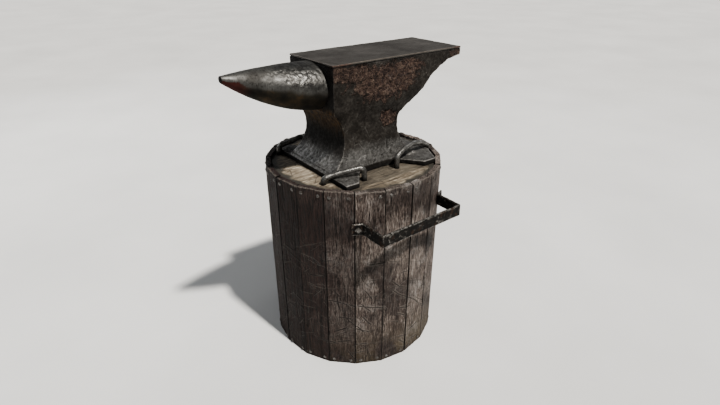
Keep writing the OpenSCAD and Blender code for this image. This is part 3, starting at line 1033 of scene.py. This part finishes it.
def make_stave(name, number, material):
    """One board, in a frame with X across it, Y out of the stump and Z up, then put in its place."""
    low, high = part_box(name)
    middle = 0.5 * (low + high)
    angle = math.atan2(middle.y, middle.x)
    out = np.array([math.cos(angle), math.sin(angle), 0])
    side = np.array([-math.sin(angle), math.cos(angle), 0])
    corners = points_of(nodes[name].data)
    half, wall = np.abs(corners @ side).max(), (corners @ out).max()
    inner_wall = (corners[np.abs(corners @ side) > 0.9 * half] @ out).min()
    thick, tall = wall - inner_wall, high.z
    inner_half = half - thick * math.tan(math.pi / len(STAVES))
    rng = np.random.default_rng(100 + number)

    xs = grid_lines(-half, half, pitch=1.5 * MM)
    ys = grid_lines(0, thick, pitch=2.5 * MM)
    zs = grid_lines(0, tall, pitch=5 * MM)
    mesh = block_mesh(name + "_grid", xs, ys, zs)
    flat = points_of(mesh)
    grain = flat + rng.uniform(-5, 5, 3)
    outer = step(flat[:, 1], 0.4 * thick, thick)
    new = weathered(flat, grain, (half, thick, tall), outer, rng)
    new[:, 0] *= (inner_half + (half - inner_half) * new[:, 1] / thick) / half
    depth = inner_wall + new[:, 1] + rng.uniform(-0.5, 0) * MM + new[:, 0] * rng.uniform(-0.01, 0.01)
    set_points(mesh, side * new[:, :1] + out * depth[:, None] + np.array([0, 0, 1]) * new[:, 2:])

    around = (angle + flat[:, 0] / wall) * wall
    # Painted shade for the boards on the horn's side.
    horn_side = step(-math.cos(around[0] / wall + math.radians(6)), 0.3, 0.98)
    long_edge = step(np.abs(flat[:, 0]), half - 3 * MM, half - 0.5 * MM)
    top_edge = step(flat[:, 2], tall - 4 * MM, tall - 1 * MM)
    seam = step(np.abs(flat[:, 0]), half - 1.9 * MM, half - 0.3 * MM)
    ground = 1 - step(flat[:, 2], 0, 9 * MM)
    set_vector(mesh, "grain", grain)
    set_vector(mesh, "wrap", np.stack([around, flat[:, 2], np.zeros(len(flat))], 1))
    set_value(mesh, "board_tone", np.full(len(flat), rng.uniform(-1, 1)))
    set_value(mesh, "height", flat[:, 2] / tall)
    set_value(mesh, "horn_side_shade", np.full(len(flat), 0.9 * horn_side))
    set_value(mesh, "edge", np.clip(0.3 * long_edge + 0.7 * top_edge, 0, 1) * (0.4 + 0.6 * outer))
    # Painted shade in the gaps between boards, and darker towards the floor.
    set_value(mesh, "grime_and_shade", np.clip(np.maximum(seam * 0.95, ground * 0.5), 0, 0.95))
    add_piece(f"{name}_board", mesh, material, "stave_wood", name)


def make_core(material):
    mesh = fine_copy(hull_of("stump_core"), voxel=3.6 * MM, smooth=1)
    co, normal = points_of(mesh), normals_of(mesh)
    top = step(normal[:, 2], 0.5, 0.9)
    moved = top * (0.7 * MM * bumps(co, (0.12, 0.02, 0.1), 71) + 0.4 * MM * bumps(co, 0.011, 72))
    set_points(mesh, co + normal * moved[:, None])

    radius = np.hypot(co[:, 0], co[:, 1])
    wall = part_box("stump_core")[1].x
    # Painted shade near the ring of staves and next to the anvil's feet; the stains are real.
    rim = step(radius + 9 * MM * bumps(co, 0.02, 73), wall - 34 * MM, wall - 2 * MM)
    stains = step(bumps(co, 0.045, 74), 0.25, 0.8) * 0.45
    feet_low, feet_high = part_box("anvil_body")
    off_feet = np.maximum.reduce([
        feet_low.x - co[:, 0],
        co[:, 0] - HEEL_FOOT_END,
        np.abs(co[:, 1]) - feet_high.y,
    ])
    by_feet = (1 - step(off_feet, 0, 10 * MM)) * 0.45
    stains_and_shade = np.clip(np.maximum.reduce([rim, stains, by_feet]), 0, 1)
    # The sides, hidden by the staves, are painted dark all over as shade.
    set_value(mesh, "grime_and_shade", stains_and_shade * top + (1 - top))
    add_piece("stump_core_sawn", mesh, material, "core_wood", "stump_core")


# ---------- iron fittings ----------

def make_staple(name, number, material):
    """A bent bar with hammer marks. It is swollen a little, to make up for what smoothing takes off."""
    mesh = fine_copy(nodes[name].data, voxel=1.15 * MM, smooth=6)
    co, normal = points_of(mesh), normals_of(mesh)
    swelling = 0.35 * MM
    moved = 0.55 * MM * bumps(co, 0.012, 81 + number) + 0.25 * MM * bumps(co, 0.005, 91 + number)
    set_points(mesh, co + normal * (moved + swelling)[:, None])
    buried = 1 - step(co[:, 2], core_top + 2 * MM, core_top + 16 * MM)
    # Painted shade on the bar's underside.
    underside = step(-normal[:, 2], 0.2, 0.9) * 0.6
    set_value(mesh, "grime_and_shade", np.clip(np.maximum(buried, underside), 0, 1))
    add_piece(f"{name}_bar", mesh, material, "staple_iron", name)


def make_rail(material):
    mesh = fine_copy(nodes["tool_rail"].data, voxel=1.3 * MM, smooth=2)
    co, normal = points_of(mesh), normals_of(mesh)
    edge = convexity(mesh, spread=3)
    moved = 0.5 * MM * bumps(co, 0.03, 101) + 0.18 * MM * bumps(co, 0.008, 102)
    moved -= 0.5 * MM * np.clip(edge, 0, 1) * step(bumps(co, 0.01, 103), 0, 0.8)
    set_points(mesh, co + normal * moved[:, None])
    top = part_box("tool_rail")[1].z
    upper = step(co[:, 2], top - 5 * MM, top - 1 * MM)
    upper_face = 0.45 * upper * step(normal[:, 2], 0.3, 0.9)
    set_value(mesh, "edge", np.clip(edge * (0.6 + 0.6 * upper) + upper_face, 0, 1))
    add_piece("tool_rail_strap", mesh, material, "rail_iron", "tool_rail")


def finish_fasteners(material):
    """The CAD heads have the right shape, so they stay, with softened edges and a real finish."""
    for name in ("top_nails", "bottom_nails", "rail_bolts"):
        heads = nodes[name]
        heads.data.materials.clear()
        heads.data.materials.append(material)
        soften = heads.modifiers.new("soften", "BEVEL")
        soften.width = (1.1 if name == "rail_bolts" else 0.35) * MM
        soften.segments = 3
        soften.limit_method = "ANGLE"
        soften.angle_limit = math.radians(40)


add_camera()
add_studio()
add_floor()

iron, steel, wood = anvil_iron(), face_steel(), stave_wood()
make_anvil_body(iron)
make_face_plate(steel)
make_horn(horn_steel())
for number, name in enumerate(STAVES):
    make_stave(name, number, wood)
make_core(core_wood())
bar = staple_iron()
for number, name in enumerate(STAPLES):
    make_staple(name, number, bar)
make_rail(rail_iron())
finish_fasteners(fastener_steel())
